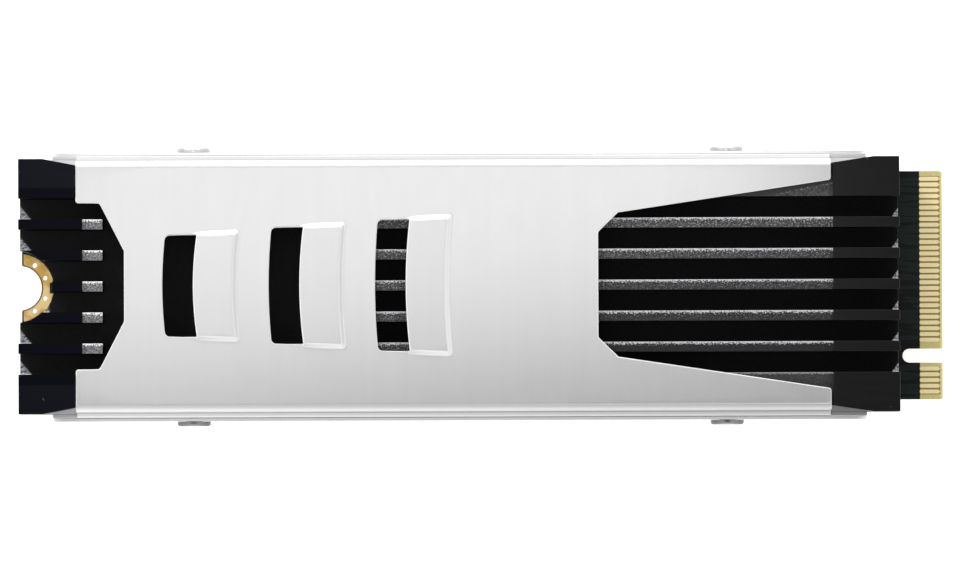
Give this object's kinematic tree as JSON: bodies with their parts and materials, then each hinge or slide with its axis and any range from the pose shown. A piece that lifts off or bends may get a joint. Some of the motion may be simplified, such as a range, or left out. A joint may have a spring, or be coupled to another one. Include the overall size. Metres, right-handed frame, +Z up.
{
  "type": "gumstick solid state drive",
  "caption": "Slim plug-in solid state drive card under a black finned heatsink, with a folded silver shield that has louvred scoops and an open fin window.",
  "frame": {"origin": "in the plane of the tray's underside, below the middle of the card", "axes": "+X points out at the edge contacts, +Y across the card, +Z up from the tray through the fins"},
  "size_m": [0.08, 0.0242, 0.0094],
  "materials": {
    "card": "dark solder mask, gold contacts",
    "black_fins": "black anodised, milled faces bright",
    "silver_sheet": "fine brushed satin",
    "tray_sheet": "satin",
    "screw_steel": "plain machined",
    "moulding": "moulded epoxy",
    "lidded_chip": "plated metal lid",
    "ceramic": "fired ceramic",
    "pad": "soft silicone"
  },
  "bodies": {
    "root": {"circuit_board": "card", "heatsink": "black_fins", "heat_shield": "silver_sheet", "bottom_tray": "tray_sheet", "controller": "lidded_chip", "dram_chip_top": "moulding", "dram_chip_bottom": "moulding", "power_chip": "moulding", "load_switch": "moulding", "crystal": "lidded_chip", "thermal_pad_top": "pad", "thermal_pad_bottom": "pad", "flash_package_1": "moulding", "flash_package_2": "moulding", "flash_package_3": "moulding", "flash_package_4": "moulding", "inductor_1": "moulding", "inductor_2": "moulding", "inductor_3": "moulding", "polymer_capacitor_1": "moulding", "polymer_capacitor_2": "moulding", "polymer_capacitor_3": "moulding", "ceramic_capacitor_1": "ceramic", "ceramic_capacitor_2": "ceramic", "ceramic_capacitor_3": "ceramic", "ceramic_capacitor_4": "ceramic", "ceramic_capacitor_5": "ceramic", "ceramic_capacitor_6": "ceramic", "ceramic_capacitor_7": "ceramic", "ceramic_capacitor_8": "ceramic", "side_screw_1": "screw_steel", "side_screw_2": "screw_steel", "side_screw_3": "screw_steel", "side_screw_4": "screw_steel"}
  },
  "joints": []
}
